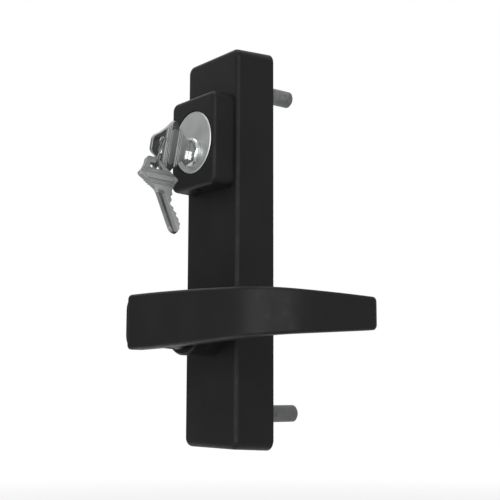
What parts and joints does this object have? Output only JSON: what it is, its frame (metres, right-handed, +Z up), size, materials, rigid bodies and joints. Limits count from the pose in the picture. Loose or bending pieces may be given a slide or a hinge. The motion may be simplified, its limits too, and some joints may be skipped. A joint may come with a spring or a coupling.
{
  "type": "exit device trim",
  "caption": "Tall black escutcheon with a lever that returns to the door, a keyed cylinder in a raised block with two keys on a ring, and mounting posts behind.",
  "frame": {"origin": "midway between the two mounting posts, in the plane of the door's face", "axes": "+Z up along the escutcheon, +Y into the door along the posts, +X towards the lever's tip"},
  "size_m": [0.1156, 0.0929, 0.183],
  "materials": {
    "black_paint": "satin black enamel on cast metal",
    "black_lever": "satin black enamel on cast metal, polished a little by hands",
    "satin_steel": "satin",
    "zinc_steel": "dull zinc plate",
    "satin_nickel": "satin nickel plate",
    "polished_nickel": "polished nickel plate",
    "pin_brass": "turned brass",
    "bush_bronze": "sintered bronze",
    "spring_steel": "oiled spring wire",
    "dark_steel": "black oxide"
  },
  "bodies": {
    "trim": {"escutcheon_cover": "black_paint", "cylinder_block": "black_paint", "block_screws": "zinc_steel", "back_plate": "zinc_steel", "plate_screws": "zinc_steel", "upper_post": "zinc_steel", "lower_post": "zinc_steel", "hub_collar": "black_paint", "collar_nut": "zinc_steel", "spindle_bush": "bush_bronze", "thrust_washer": "satin_steel", "guide_pins": "satin_steel", "return_spring": "spring_steel", "cylinder_shell": "satin_nickel", "chamber_cover": "pin_brass", "driver_pins": "pin_brass", "pin_springs": "spring_steel", "cylinder_set_screw": "dark_steel"},
    "lever": {"lever_handle": "black_lever", "lever_spindle": "satin_steel", "lever_set_screw": "dark_steel", "retaining_ring": "dark_steel", "drive_pinion": "satin_steel"},
    "lift": {"lift_slide": "satin_steel", "drive_lug": "satin_steel"},
    "turning_plug": {"plug": "polished_nickel", "key_pins": "pin_brass", "plug_cam": "satin_steel", "cam_screws": "zinc_steel", "inserted_key": "satin_nickel"},
    "lock": {"lock_slide": "zinc_steel"},
    "ring": {"split_ring": "polished_nickel"},
    "spare": {"spare_key": "satin_nickel"}
  },
  "joints": [
    {"name": "lever_turn", "type": "hinge", "parent": "trim", "child": "lever", "pos_m": [0, 0, -0.03625], "axis": [0, 1, 0], "range_deg": [0, 45], "stiffness_Nm_per_rad": 0.6, "springref_deg": -34.38, "deforming": ["return_spring"]},
    {"name": "lift_travel", "type": "slide", "parent": "trim", "child": "lift", "axis": [0, 0, 1], "range_m": [0, 0.0071]},
    {"name": "plug_turn", "type": "hinge", "parent": "trim", "child": "turning_plug", "pos_m": [0, 0, 0.04185], "axis": [0, 1, 0], "range_deg": [-15, 75]},
    {"name": "lock_travel", "type": "slide", "parent": "trim", "child": "lock", "axis": [0, 0, -1], "range_m": [-0.00132, 0.00656]},
    {"name": "ring_swing", "type": "hinge", "parent": "turning_plug", "child": "ring", "pos_m": [0.00084, -0.0478, 0.04499], "axis": [0.9158, -0.3532, 0.1913], "range_deg": [-10, 12]},
    {"name": "spare_swing", "type": "hinge", "parent": "ring", "child": "spare", "pos_m": [0.00198, -0.05215, 0.03152], "axis": [0.9158, -0.3532, 0.1913], "range_deg": [-12, 15]}
  ],
  "couplings": [
    {"joint": "lift_travel", "follows": "lever_turn", "m_per_rad": 0.009},
    {"joint": "lock_travel", "follows": "plug_turn", "m_per_rad": 0.005}
  ]
}
